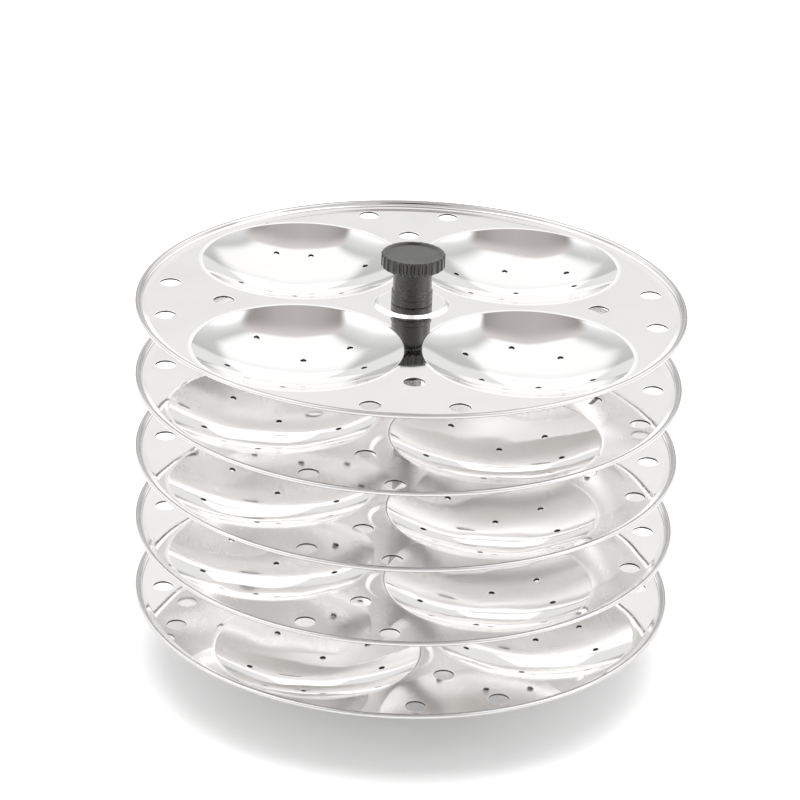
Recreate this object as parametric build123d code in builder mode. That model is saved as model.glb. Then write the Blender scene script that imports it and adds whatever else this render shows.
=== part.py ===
# Idli steaming rack: five round pressed plates of four cups each, stacked on one
# centre rod with tube spacers between them, on a small spun foot, and held down
# by a black knob that screws onto the top of the rod.
# Millimetres, +Z up, origin on the floor under the middle of the foot.

import math
import os

from build123d import *

# Stack
plate_count = 5
plate_pitch = 28.9  # from the flat of one plate to the flat of the next
foot_to_flat = 19.0  # from the top of the foot to the flat of the lowest plate
fit_gap = 0.4  # radial play of plates, spacers and washer on the rod
overrun = 1.0  # how far a cutting tool runs past what it cuts

# Cups of a plate
cup_count = 4
cup_mouth_radius = 37.8
cup_gap = 5.3  # flat left between neighbouring cups
cup_depth = 8.5
cup_lip_bend = 1.4  # inside radius of the lip
drain_radius = 1.1
drain_inset = 13.8  # from the mouth to the ring of drain holes

# Plates
plate_gauge = 0.6
rim_land = 0.595  # flat left between the cups and the rim's slope
slope_width = 2.326  # shallow slope from the flat to the foot of the rim's wall
slope_angle = 12.0  # degrees
slope_bend = 4.0
rim_height = 2.3  # top of the bead above the flat
rim_lean = 15.0  # degrees of the rim wall from upright
rim_bend = 1.2
bead_hollow = 0.3  # radius inside the rolled bead
bead_curl = 250.0  # degrees of roll
boss_land = 4.75  # flat of the boss around the knob's foot
boss_run = 1.5  # width of the boss's slope
boss_height = 1.2
boss_bend = 0.6

# Steam holes of a plate, in the gaps between the cups
steam_hole_radius = 3.75
inner_steam_inset = 27.565  # from the start of the rim's slope to the hole
outer_steam_inset = 6.165
outer_steam_spread = 9.8  # degrees to each side of the gap

# Rod
rod_radius = 3.0
rod_engagement = 10.0  # length of rod inside the knob's bush
rod_end_chamfer = 0.6
rod_tail = 0.8  # length of rod below the nut
collar_step = 3.0
collar_height = 2.0

# Spacers
spacer_wall = 1.2
spacer_chamfer = 0.3

# Nut and washer under the foot
washer_land = 2.6
washer_height = 1.0
nut_wall = 2.0
nut_height = 3.2
nut_chamfer = 0.5
floor_clearance = 2.2  # from the rod's end to the floor

# Foot
foot_gauge = 0.8
foot_top_radius = 31.0
foot_wall_run = 2.0
foot_flange = 2.0
foot_bend = 1.2
foot_hole_radius = 2.2
foot_hole_inset = 5.0
foot_hole_count = 6
foot_hole_turn = -51.0

# Threaded bush moulded into the knob
thread_gap = 0.05
bush_wall = 1.45
bush_spare = 1.0  # thread past the end of the rod
bush_gap = 0.05
bush_groove_depth = 0.4
bush_groove_width = 1.2
bush_groove_shares = (1 / 3, 2 / 3)  # places along the bush

# Knob
neck_wall = 2.5
neck_height = 14.0
neck_fillet = 0.5
foot_ring_relief = 0.4  # how far the rings at the foot stand out of the neck
foot_ring_height = 2.55
foot_ring_count = 2
foot_ring_groove = 0.35
head_overhang = 4.55
head_height = 5.0
head_edge = 0.5
flute_count = 26
flute_radius = 0.85
flute_depth = 0.45
recess_land = 1.7
recess_depth = 0.5

# Turn of each plate about the rod, from the top one down, in degrees
plate_turns = (1.5, -12.0, -12.0, -12.0, 14.0)

# Drain holes of a cup, as shares of the drain ring's radius with the direction in
# degrees from +X. The pins are set by hand, so the cups differ.
drain_shares_left = ((1.00, 130), (0.93, 36), (0.29, 75), (1.06, 198), (1.00, 349), (0.98, 260))
drain_shares_right = ((0.79, 106), (0.98, 158), (0.71, 45), (0.80, 213), (0.56, 286), (1.04, 335))
drain_shares_back_left = ((0.92, 118), (0.82, 82), (1.04, 19), (1.06, 211), (0.91, 266), (1.03, 309))
drain_shares_back_right = ((0.96, 173), (0.54, 110), (0.87, 26), (0.90, 349), (0.31, 266), (0.98, 222))

# Which of them each cup has, counter-clockwise from the back right cup
top_plate_cups = (drain_shares_back_right, drain_shares_back_left, drain_shares_left, drain_shares_right)
lower_plate_cups = (drain_shares_back_right, drain_shares_back_left, drain_shares_left, drain_shares_left)

# Radii that follow from the sizes above
rod_hole_radius = rod_radius + fit_gap
spacer_radius = rod_hole_radius + spacer_wall
collar_radius = rod_radius + collar_step
washer_radius = rod_hole_radius + washer_land
nut_flats = 2 * (rod_radius + nut_wall)
foot_radius = foot_top_radius + foot_wall_run + foot_flange
foot_hole_ring_radius = foot_top_radius - foot_hole_inset
bush_inner_radius = rod_radius + thread_gap
bush_radius = bush_inner_radius + bush_wall
socket_radius = bush_radius + bush_gap
neck_radius = socket_radius + neck_wall
foot_ring_radius = neck_radius + foot_ring_relief
head_radius = neck_radius + head_overhang
recess_radius = head_radius - recess_land
boss_top_radius = foot_ring_radius + boss_land
boss_foot_radius = boss_top_radius + boss_run
cup_turn = 180.0 / cup_count  # cups stand half a step from the gaps
cup_lip = cup_lip_bend + plate_gauge
cup_ring_radius = (cup_mouth_radius + cup_gap / 2) / math.sin(math.radians(cup_turn))
drain_ring_radius = cup_mouth_radius - drain_inset
slope_start = cup_ring_radius + cup_mouth_radius + rim_land
rim_corner = slope_start + slope_width
slope_rise = slope_width * math.tan(math.radians(slope_angle))
curl_start = 180.0 - rim_lean  # direction from the bead's centre to where the wall meets it
bead_radius = bead_hollow + plate_gauge
inner_steam_ring_radius = slope_start - inner_steam_inset
outer_steam_ring_radius = slope_start - outer_steam_inset

# Heights that follow from the sizes above
foot_height = floor_clearance + rod_tail + nut_height + washer_height + foot_gauge
rod_base = floor_clearance
nut_base = rod_base + rod_tail
washer_base = nut_base + nut_height
spacer_floor = foot_height + collar_height
lowest_flat = foot_height + foot_to_flat
flats = [lowest_flat + plate_pitch * (plate_count - 1 - k) for k in range(plate_count)]
seats = [flat + boss_height for flat in flats]
knob_seat = seats[0]
rod_top = knob_seat + rod_engagement
bush_length = rod_engagement + bush_spare
foot_rings_top = foot_ring_count * foot_ring_height
knob_height = neck_height + head_height

os.makedirs("parts", exist_ok=True)


def export(builder, label):
    # Write one finished piece under its own name.
    builder.part.label = label
    export_step(builder.part, f"parts/{label}.step")


def polar(radius, degrees):
    # Point of the XY plane at a radius and a direction.
    return radius * math.cos(math.radians(degrees)), radius * math.sin(math.radians(degrees))


def upright(origin):
    # Plane of a turned profile: local x outwards along +X, local y up.
    return Plane(origin=origin, x_dir=(1, 0, 0), z_dir=(0, -1, 0))


def underside(points, gauge):
    # Corners of a sheet's lower face, each moved along its mitre by the gauge.
    lower = []
    for i, (x, y) in enumerate(points):
        before = points[max(i - 1, 0)]
        after = points[min(i + 1, len(points) - 1)]
        runs = [(x - before[0], y - before[1]), (after[0] - x, after[1] - y)]
        angles = [math.atan2(dy, dx) for dx, dy in runs if dx or dy]
        middle = sum(angles) / len(angles)
        reach = gauge / math.cos((angles[-1] - angles[0]) / 2)
        lower.append((x + reach * math.sin(middle), y - reach * math.cos(middle)))
    return lower


def bends(points, inner_bend, gauge, upper):
    # Bend radius at each inner corner of a face: the outside of a bend is larger by the gauge.
    radii = []
    for a, b, c, bend in zip(points, points[1:], points[2:], inner_bend):
        turns_up = (b[0] - a[0]) * (c[1] - b[1]) > (b[1] - a[1]) * (c[0] - b[0])
        radii.append(bend if turns_up == upper else bend + gauge)
    return radii


def curl_point(center, radius):
    # Free end of the rolled bead, on its outside or its inside.
    dx, dy = polar(radius, curl_start - bead_curl)
    return center[0] + dx, center[1] + dy


def make_plate(number, flat, turn, cups):
    # One pressed plate: centre boss, flat, four cups, shallow slope, leaning rim and rolled bead.
    wall = math.radians(rim_lean)
    wall_top = rim_height - bead_radius + bead_radius * math.sin(wall)
    tangent = (rim_corner + (wall_top - slope_rise) * math.tan(wall), wall_top)
    bead_center = (tangent[0] + bead_radius * math.cos(wall), rim_height - bead_radius)
    upper = [
        (rod_hole_radius, boss_height),
        (boss_top_radius, boss_height),
        (boss_foot_radius, 0),
        (slope_start, 0),
        (rim_corner, slope_rise),
        tangent,
    ]
    lower = underside(upper, plate_gauge)
    corner_bends = (boss_bend, boss_bend, slope_bend, rim_bend)

    # The dish is part of a sphere, met by a rounded lip at the mouth.
    dish_radius = (cup_mouth_radius**2 / cup_depth + cup_depth) / 2 - cup_lip
    dish_center = (0, dish_radius - cup_depth)
    lip_center = (cup_mouth_radius, -cup_lip)
    dish_angle = math.degrees(math.atan2(cup_mouth_radius, dish_center[1] + cup_lip))

    cup_centers = [
        polar(cup_ring_radius, turn + cup_turn + k * 360 / cup_count) for k in range(cup_count)
    ]
    drains = []
    for center, shares in zip(cup_centers, cups):
        for share, direction in shares:
            dx, dy = polar(share * drain_ring_radius, direction)
            drains.append((center[0] + dx, center[1] + dy, flat - cup_depth))
    steam_places = []
    for k in range(cup_count):
        gap = turn + k * 360 / cup_count
        steam_places += [
            polar(inner_steam_ring_radius, gap),
            polar(outer_steam_ring_radius, gap - outer_steam_spread),
            polar(outer_steam_ring_radius, gap + outer_steam_spread),
        ]

    with BuildPart() as plate:
        with BuildSketch(upright((0, 0, flat))):
            with BuildLine():
                FilletPolyline(*upper, radius=bends(upper, corner_bends, plate_gauge, True))
                CenterArc(bead_center, bead_radius, curl_start, -bead_curl)
                Line(curl_point(bead_center, bead_radius), curl_point(bead_center, bead_hollow))
                CenterArc(bead_center, bead_hollow, curl_start, -bead_curl)
                FilletPolyline(*lower, radius=bends(lower, corner_bends, plate_gauge, False))
                Line(lower[0], upper[0])
            make_face()
        revolve(axis=Axis.Z)
        with Locations([(x, y, flat) for x, y in cup_centers]):
            Cylinder(cup_mouth_radius, plate_gauge + boss_height, mode=Mode.SUBTRACT)
        for center in cup_centers:
            with BuildSketch(upright((*center, flat))):
                with BuildLine():
                    CenterArc(dish_center, dish_radius, -90, dish_angle)
                    CenterArc(lip_center, cup_lip, 90 + dish_angle, -dish_angle)
                    Line((cup_mouth_radius, 0), (cup_mouth_radius, -plate_gauge))
                    CenterArc(lip_center, cup_lip_bend, 90 + dish_angle, -dish_angle)
                    CenterArc(dish_center, dish_radius + plate_gauge, -90, dish_angle)
                    Line((0, -cup_depth - plate_gauge), (0, -cup_depth))
                make_face()
            revolve(axis=Axis((*center, 0), (0, 0, 1)))
        with Locations(drains):
            Cylinder(drain_radius, 2 * cup_depth + overrun, mode=Mode.SUBTRACT)
        with Locations([(x, y, flat) for x, y in steam_places]):
            Cylinder(steam_hole_radius, 2 * (plate_gauge + overrun), mode=Mode.SUBTRACT)
    export(plate, f"plate_{number}")


def make_spacer(number, bottom, top):
    # Tube that carries a plate's boss on what is below it.
    with BuildPart() as spacer:
        with BuildSketch(Plane.XY.offset(bottom)):
            Circle(spacer_radius)
            Circle(rod_hole_radius, mode=Mode.SUBTRACT)
        extrude(amount=top - bottom)
        outer_edges = spacer.edges().filter_by(GeomType.CIRCLE).group_by(lambda e: e.radius)[-1]
        chamfer(outer_edges, length=spacer_chamfer)
    export(spacer, f"spacer_{number}")


for k, (flat, turn) in enumerate(zip(flats, plate_turns)):
    make_plate(k + 1, flat, turn, top_plate_cups if k == 0 else lower_plate_cups)
    carried_by = seats[k + 1] if k + 1 < plate_count else spacer_floor
    make_spacer(k + 1, carried_by, seats[k] - plate_gauge)

# Rod with the collar that stands on the foot
with BuildPart() as centre_rod:
    with BuildSketch(Plane.XY.offset(rod_base)):
        Circle(rod_radius)
    extrude(amount=rod_top - rod_base)
    rod_ends = centre_rod.edges().filter_by(GeomType.CIRCLE)
    chamfer(rod_ends, length=rod_end_chamfer)
    with BuildSketch(Plane.XY.offset(foot_height)):
        Circle(collar_radius)
    extrude(amount=collar_height)
export(centre_rod, "centre_rod")

# Foot: a shallow spun dish, turned over, with a flat flange to stand on
foot_upper = [
    (rod_radius, foot_height),
    (foot_top_radius, foot_height),
    (foot_radius - foot_flange, foot_gauge),
    (foot_radius, foot_gauge),
]
foot_lower = underside(foot_upper, foot_gauge)
foot_bends = (foot_bend, foot_bend)
with BuildPart() as foot_dish:
    with BuildSketch(upright((0, 0, 0))):
        with BuildLine():
            FilletPolyline(*foot_upper, radius=bends(foot_upper, foot_bends, foot_gauge, True))
            Line(foot_upper[-1], foot_lower[-1])
            FilletPolyline(*foot_lower, radius=bends(foot_lower, foot_bends, foot_gauge, False))
            Line(foot_lower[0], foot_upper[0])
        make_face()
    revolve(axis=Axis.Z)
    with BuildSketch(Plane.XY.offset(foot_height)):
        with PolarLocations(foot_hole_ring_radius, foot_hole_count, start_angle=foot_hole_turn):
            Circle(foot_hole_radius)
    extrude(amount=-foot_gauge - overrun, mode=Mode.SUBTRACT)
export(foot_dish, "foot_dish")

# Washer and nut that clamp the foot against the collar
with BuildPart() as foot_washer:
    with BuildSketch(Plane.XY.offset(washer_base)):
        Circle(washer_radius)
        Circle(rod_hole_radius, mode=Mode.SUBTRACT)
    extrude(amount=washer_height)
export(foot_washer, "foot_washer")

with BuildPart() as foot_nut:
    with BuildSketch(Plane.XY.offset(nut_base)):
        RegularPolygon(nut_flats / 2, 6, major_radius=False)
        Circle(rod_radius, mode=Mode.SUBTRACT)
    extrude(amount=nut_height)
    with BuildSketch(upright((0, 0, nut_base))):
        corner = nut_flats / 2 / math.cos(math.pi / 6)
        with BuildLine():
            Polyline(
                (corner - nut_chamfer, 0),
                (corner, nut_chamfer),
                (corner, nut_height - nut_chamfer),
                (corner - nut_chamfer, nut_height),
                (0, nut_height),
                (0, 0),
                close=True,
            )
        make_face()
    revolve(axis=Axis.Z, mode=Mode.INTERSECT)
export(foot_nut, "foot_nut")

# Knob: fluted head with a sunk top, plain neck, and grooved rings at its foot
knob_points = [(socket_radius, 0)]
for ring in range(foot_ring_count):
    base = ring * foot_ring_height
    top = base + foot_ring_height
    knob_points += [
        (foot_ring_radius - foot_ring_groove, base),
        (foot_ring_radius, base + foot_ring_groove),
        (foot_ring_radius, top - foot_ring_groove),
    ]
knob_points += [
    (foot_ring_radius - foot_ring_groove, foot_rings_top),
    (neck_radius, foot_rings_top + foot_ring_groove),
    (neck_radius, neck_height),
    (head_radius - head_edge, neck_height),
    (head_radius, neck_height + head_edge),
    (head_radius, knob_height - head_edge),
    (head_radius - head_edge, knob_height),
    (recess_radius, knob_height),
    (recess_radius - recess_depth, knob_height - recess_depth),
    (0, knob_height - recess_depth),
    (0, bush_length),
    (socket_radius, bush_length),
]
with BuildPart() as knob:
    with BuildSketch(upright((0, 0, knob_seat))):
        with BuildLine():
            Polyline(*knob_points, close=True)
        make_face()
    revolve(axis=Axis.Z)
    # Level faces from below: the foot, the end of the socket, the underside of the head
    head_underside = knob.faces().filter_by(Axis.Z).sort_by(Axis.Z)[2]
    fillet(head_underside.inner_wires().edges(), radius=neck_fillet)
    with BuildSketch(Plane.XY.offset(knob_seat + neck_height)):
        with PolarLocations(head_radius + flute_radius - flute_depth, flute_count):
            Circle(flute_radius)
    extrude(amount=head_height, mode=Mode.SUBTRACT)
export(knob, "knob")

# Threaded bush inside the knob, with two grooves that key the moulding
with BuildPart() as knob_bush:
    with BuildSketch(Plane.XY.offset(knob_seat)):
        Circle(bush_radius)
    extrude(amount=bush_length)
    with BuildSketch(Plane.XY.offset(knob_seat)):
        Circle(bush_inner_radius)
    extrude(amount=bush_length, mode=Mode.SUBTRACT)
    for share in bush_groove_shares:
        with BuildSketch(Plane.XY.offset(knob_seat + share * bush_length - bush_groove_width / 2)):
            Circle(bush_radius)
            Circle(bush_radius - bush_groove_depth, mode=Mode.SUBTRACT)
        extrude(amount=bush_groove_width, mode=Mode.SUBTRACT)
export(knob_bush, "knob_bush")
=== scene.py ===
import math

import bpy
import numpy as np
from mathutils import Matrix, Vector
from mathutils.geometry import delaunay_2d_cdt


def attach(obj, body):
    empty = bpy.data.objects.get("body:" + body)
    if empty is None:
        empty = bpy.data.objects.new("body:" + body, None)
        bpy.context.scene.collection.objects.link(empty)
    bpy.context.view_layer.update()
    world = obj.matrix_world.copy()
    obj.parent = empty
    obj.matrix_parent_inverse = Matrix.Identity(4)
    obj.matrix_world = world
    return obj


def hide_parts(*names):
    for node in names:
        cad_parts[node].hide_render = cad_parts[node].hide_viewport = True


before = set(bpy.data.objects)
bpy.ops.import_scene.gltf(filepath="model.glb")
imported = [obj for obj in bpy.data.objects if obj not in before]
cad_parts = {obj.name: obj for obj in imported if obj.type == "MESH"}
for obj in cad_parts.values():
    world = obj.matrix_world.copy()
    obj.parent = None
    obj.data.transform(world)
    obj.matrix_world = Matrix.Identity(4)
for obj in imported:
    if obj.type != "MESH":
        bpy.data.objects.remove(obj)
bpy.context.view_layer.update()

mm = 0.001  # sizes in the dictionaries below are millimetres, as in the CAD
fullTurn = 2 * math.pi
print("frame loaded:", len(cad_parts), "nodes")


scene = bpy.context.scene


def newObject(name, data):
    # Object linked to the scene.
    made = bpy.data.objects.new(name, data)
    scene.collection.objects.link(made)
    return made


# Node helpers

def feed(tree, socket, value):
    # Links a socket to another one, or sets it to a number, a triple or a colour.
    if isinstance(value, bpy.types.NodeSocket):
        tree.links.new(value, socket)
    elif value is not None:
        socket.default_value = (*value, 1) if socket.type == "RGBA" else value


def place(tree, kind, values=None, **settings):
    # One node; values go to its sockets by name or number.
    node = tree.nodes.new(kind)
    for key, value in settings.items():
        setattr(node, key, value)
    for key, value in (values or {}).items():
        feed(tree, node.inputs[key], value)
    return node


def layOut(tree):
    # Sets the nodes out in columns, each one right of all that feed it.
    column = {node.name: 0 for node in tree.nodes}
    for _ in tree.nodes:
        for link in tree.links:
            after = link.to_node.name
            column[after] = max(column[after], column[link.from_node.name] + 1)
    taken = [0] * len(column)
    for node in tree.nodes:
        k = column[node.name]
        node.location = (220 * k, -300 * taken[k])
        taken[k] += 1


def math2(tree, operation, *values):
    # Math node whose inputs are sockets or numbers.
    return place(tree, "ShaderNodeMath", dict(enumerate(values)), operation=operation).outputs[0]


def noise(tree, scale, vector=None, **look):
    # Noise texture, on the piece's own coordinates if no vector is given.
    vector = vector or place(tree, "ShaderNodeTexCoord").outputs["Object"]
    return place(tree, "ShaderNodeTexNoise", {"Vector": vector, "Scale": scale, **look}).outputs["Fac"]


def ramp(tree, source, stops):
    # Colour ramp through (place, grey) stops.
    node = place(tree, "ShaderNodeValToRGB", {0: source})
    elements = node.color_ramp.elements
    while len(elements) < len(stops):
        elements.new(0.5)
    for element, (position, grey) in zip(elements, stops):
        element.position = position
        element.color = (grey, grey, grey, 1)
    return node.outputs[0]


def newGroup(name, inputs, outputs):
    # Node group with named number inputs and outputs.
    group = bpy.data.node_groups.new(name, "ShaderNodeTree")
    for label, value in inputs.items():
        socket = group.interface.new_socket(name=label, in_out="INPUT", socket_type="NodeSocketFloat")
        socket.default_value = value
    for label in outputs:
        group.interface.new_socket(name=label, in_out="OUTPUT", socket_type="NodeSocketFloat")
    return group, place(group, "NodeGroupInput").outputs, place(group, "NodeGroupOutput").inputs


def roundCoordinates(tree):
    # Place, radius from the stack's axis, cosine and sine of the direction round it, and height.
    spot = place(tree, "ShaderNodeTexCoord").outputs["Object"]
    x, y, z = place(tree, "ShaderNodeSeparateXYZ", {0: spot}).outputs
    total = math2(tree, "ADD", math2(tree, "MULTIPLY", x, x), math2(tree, "MULTIPLY", y, y))
    radius = math2(tree, "SQRT", math2(tree, "ADD", total, 1e-9))
    return spot, radius, math2(tree, "DIVIDE", x, radius), math2(tree, "DIVIDE", y, radius), z


def turnedLinesGroup():
    # Fine lines that a polishing wheel or lathe tool leaves round the axis: noise along radius + height.
    group, given, made = newGroup("turnedLines", {"Lines per metre": 3000.0, "Wander": 3.0}, ["Lines", "Drift"])
    _, radius, cosine, sine, height = roundCoordinates(group)
    vector = place(group, "ShaderNodeCombineXYZ", {
        0: math2(group, "MULTIPLY", math2(group, "ADD", radius, height), given["Lines per metre"]),
        1: math2(group, "MULTIPLY", cosine, given["Wander"]),
        2: math2(group, "MULTIPLY", sine, given["Wander"]),
    }).outputs[0]
    feed(group, made["Lines"], noise(group, 1.0, vector, Detail=4.0, Roughness=0.7))
    feed(group, made["Drift"], noise(group, 0.06, vector, Detail=2.0))
    return group


def handlingGroup():
    # Wiping haze in soft clouds, and thin scratches crossing each other, stronger towards a rim.
    group, given, made = newGroup(
        "handling", {"Cloud size": 0.03, "Scratch size": 0.012, "Rim radius": 0.09}, ["Haze", "Scratches"]
    )
    spot, radius, _, _, _ = roundCoordinates(group)
    perCloud = math2(group, "DIVIDE", 1.0, given["Cloud size"])
    clouds = noise(group, perCloud, spot, Detail=3.0, Roughness=0.55, Distortion=0.4)
    feed(group, made["Haze"], ramp(group, clouds, ((0.42, 0.0), (0.72, 1.0))))

    perScratch = math2(group, "DIVIDE", 1.0, given["Scratch size"])
    scratches = 0.0
    for k, turn in enumerate((0.5, 1.7, 2.6)):
        stretch = {"Vector": spot, "Rotation": (0.3 * k, 0.2, turn), "Scale": (9.0, 0.22, 1.0)}
        mapped = place(group, "ShaderNodeMapping", stretch, vector_type="TEXTURE").outputs[0]
        layer = ramp(group, noise(group, perScratch, mapped, Detail=1.0), ((0.70, 0.0), (0.76, 1.0)))
        scratches = math2(group, "MAXIMUM", layer, scratches)
    nearRim = math2(group, "POWER", math2(group, "DIVIDE", radius, given["Rim radius"]), 3.0)
    weight = math2(group, "MINIMUM", nearRim, 1.0)
    feed(group, made["Scratches"], math2(group, "MULTIPLY", scratches, weight))
    return group


turnedLines = turnedLinesGroup()
handling = handlingGroup()


def useGroup(tree, group, **values):
    # Places a shared group and sets its named inputs.
    named = {label.replace("_", " "): value for label, value in values.items()}
    return place(tree, "ShaderNodeGroup", named, node_tree=group).outputs


def blendColours(tree, share, first, second, how="MIX"):
    # Mix of two colours by a mask or a number; a colour is a triple or a socket.
    values = {0: share, 6: first, 7: second}
    return place(tree, "ShaderNodeMix", values, data_type="RGBA", blend_type=how).outputs[2]


def addBump(tree, height, distance, strength=1.0, before=None):
    # Normal raised by a mask, up to a distance in metres, on top of the normal before it.
    values = {"Height": height, "Distance": distance, "Strength": strength, "Normal": before}
    return place(tree, "ShaderNodeBump", values).outputs[0]


def newMaterial(name, **fixed):
    # Material, its tree and the sockets of its one Principled shader; fixed values go straight to them.
    material = bpy.data.materials.new(name)
    material.use_nodes = True
    shader = material.node_tree.nodes["Principled BSDF"].inputs
    for label, value in fixed.items():
        shader[label.replace("_", " ")].default_value = value
    return material, material.node_tree, shader


def mirrorSteel():
    # Pressed and buffed stainless sheet: nearly a mirror, gently wavy, with wheel lines and fine wear.
    # The cups, the boss's bends and the rims of the holes, marked by a point attribute of the mesh, are
    # painted brighter than the flat: a painted highlight.
    finish = {
        "flat": (0.835, 0.826, 0.820), "flatDull": (0.800, 0.790, 0.784),
        # dish tones: the painted highlight of the cups, the bends and the hole rims
        "dish": (0.985, 0.980, 0.975), "dishDull": (0.965, 0.958, 0.950),
        "roughness": 0.03, "haze": 0.03, "lines": 0.02, "scratches": 0.10,
        "waveSize": 0.030, "waveHeight": 0.0009, "flatWave": 0.2, "lineHeight": 0.0000004,
    }
    material, tree, shader = newMaterial("mirrorSteel", Metallic=1.0)
    wheel = useGroup(tree, turnedLines, Lines_per_metre=2600.0, Wander=2.0)
    wear = useGroup(tree, handling, Cloud_size=0.03, Scratch_size=0.014, Rim_radius=0.1)
    dish = place(tree, "ShaderNodeAttribute", attribute_name="paintedLight").outputs["Fac"]
    flatTone = blendColours(tree, wear["Haze"], finish["flat"], finish["flatDull"])
    dishTone = blendColours(tree, wear["Haze"], finish["dish"], finish["dishDull"])
    feed(tree, shader["Base Color"], blendColours(tree, dish, flatTone, dishTone))
    rough = finish["roughness"]
    for mask, share in ((wear["Haze"], "haze"), (wheel["Lines"], "lines"), (wear["Scratches"], "scratches")):
        rough = math2(tree, "MULTIPLY_ADD", mask, finish[share], rough)
    feed(tree, shader["Roughness"], rough)

    wave = noise(tree, 1 / finish["waveSize"], Detail=1.0, Roughness=0.35)
    waviness = math2(tree, "MULTIPLY_ADD", dish, 1 - finish["flatWave"], finish["flatWave"])
    waves = addBump(tree, wave, finish["waveHeight"], waviness)
    feed(tree, shader["Normal"], addBump(tree, wheel["Lines"], finish["lineHeight"], before=waves))
    return material


def workedSteel(
    name, bright, dull, roughness, lineRoughness, linesPerMetre, wander, lineHeight, rimRadius, paintedShade=None,
):
    # Plain metal with the lines of its making round or along the axis, and some handling. The optional dark
    # tone is painted shade, shown where the mesh's light-share attribute is 0.
    hazeRoughness = 0.06
    material, tree, shader = newMaterial(name, Metallic=1.0)
    lines = useGroup(tree, turnedLines, Lines_per_metre=linesPerMetre, Wander=wander)
    wear = useGroup(tree, handling, Cloud_size=0.012, Scratch_size=0.008, Rim_radius=rimRadius)
    tone = blendColours(tree, lines["Drift"], bright, dull)
    colour = blendColours(tree, wear["Haze"], tone, dull)
    if paintedShade:
        litShare = place(tree, "ShaderNodeAttribute", attribute_name="paintedLight").outputs["Fac"]
        colour = blendColours(tree, litShare, paintedShade, colour)
    feed(tree, shader["Base Color"], colour)
    rough = math2(tree, "MULTIPLY_ADD", lines["Lines"], lineRoughness, roughness)
    feed(tree, shader["Roughness"], math2(tree, "MULTIPLY_ADD", wear["Haze"], hazeRoughness, rough))
    feed(tree, shader["Normal"], addBump(tree, lines["Lines"], lineHeight))
    return material


def blackPhenolic():
    # Moulded phenolic: near black, semi-gloss, with a faint orange-peel skin and paler rubbed spots.
    finish = {
        "deep": (0.011, 0.0100, 0.0092), "rubbed": (0.028, 0.0245, 0.0225), "hazeShare": 0.55,
        "roughness": 0.17, "rubbedRoughness": 0.10,
        "skin": ((0.0018, 0.0000035), (0.00025, 0.000001)),  # size and height of the peel and of the grain
    }
    material, tree, shader = newMaterial("blackPhenolic", IOR=1.6)
    wear = useGroup(tree, handling, Cloud_size=0.006, Scratch_size=0.004, Rim_radius=0.0116)
    hazy = math2(tree, "MULTIPLY", wear["Haze"], finish["hazeShare"])
    share = math2(tree, "MAXIMUM", hazy, wear["Scratches"])
    feed(tree, shader["Base Color"], blendColours(tree, share, finish["deep"], finish["rubbed"]))
    rough = math2(tree, "MULTIPLY_ADD", share, finish["rubbedRoughness"], finish["roughness"])
    feed(tree, shader["Roughness"], rough)
    skin = None
    for size, height in finish["skin"]:
        skin = addBump(tree, noise(tree, 1 / size, Detail=2.0), height, before=skin)
    feed(tree, shader["Normal"], skin)
    return material


mirror = mirrorSteel()
satin = workedSteel(
    "satinSteel", bright=(0.74, 0.735, 0.725), dull=(0.62, 0.61, 0.60), roughness=0.17, lineRoughness=0.14,
    linesPerMetre=5200.0, wander=6.0, lineHeight=0.0000035, rimRadius=0.035,
)
tubing = workedSteel(
    "tubingSteel", bright=(0.50, 0.49, 0.48), dull=(0.38, 0.37, 0.36), roughness=0.30, lineRoughness=0.14,
    linesPerMetre=4200.0, wander=8.0, lineHeight=0.000003, rimRadius=0.01,
)
drawn = workedSteel(
    "drawnSteel", bright=(0.68, 0.675, 0.67), dull=(0.54, 0.53, 0.52), roughness=0.22, lineRoughness=0.12,
    linesPerMetre=2400.0, wander=30.0, lineHeight=0.000003, rimRadius=0.006,
)
brass = workedSteel(
    "turnedBrass", bright=(0.80, 0.60, 0.28), dull=(0.60, 0.42, 0.18), roughness=0.20, lineRoughness=0.14,
    linesPerMetre=6000.0, wander=2.0, lineHeight=0.000004, rimRadius=0.0045,
)
# Underside; its dark tone is painted shade, on the outer underside and on the curl's last rows.
underside = workedSteel(
    "undersideSteel", bright=(0.985, 0.981, 0.977), dull=(0.965, 0.960, 0.955),
    paintedShade=(0.48, 0.475, 0.47), roughness=0.25, lineRoughness=0.05,
    linesPerMetre=1800.0, wander=4.0, lineHeight=0.000002, rimRadius=0.1,
)
# Rim wall and bead, painted darker than the flat: painted shade.
rimShade = workedSteel(
    "rolledEdge", bright=(0.60, 0.594, 0.588), dull=(0.54, 0.534, 0.528), roughness=0.07, lineRoughness=0.04,
    linesPerMetre=2600.0, wander=2.0, lineHeight=0.0000004, rimRadius=0.1,
)
# Hole walls: rough like a sheared edge; the near-black tone is painted shade.
holeWallShade = workedSteel(
    "shearedEdge", bright=(0.11, 0.105, 0.10), dull=(0.04, 0.038, 0.036), roughness=0.45, lineRoughness=0.20,
    linesPerMetre=9000.0, wander=60.0, lineHeight=0.000006, rimRadius=0.1,
)
phenolic = blackPhenolic()
print("materials made")


# Mesh helpers

def ring(centre, radius, count, turn=0.0):
    # Points on a circle: x = cx + r cos a, y = cy + r sin a.
    angle = turn + np.arange(count) * fullTurn / count
    return np.column_stack([centre[0] + radius * np.cos(angle), centre[1] + radius * np.sin(angle)])


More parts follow.
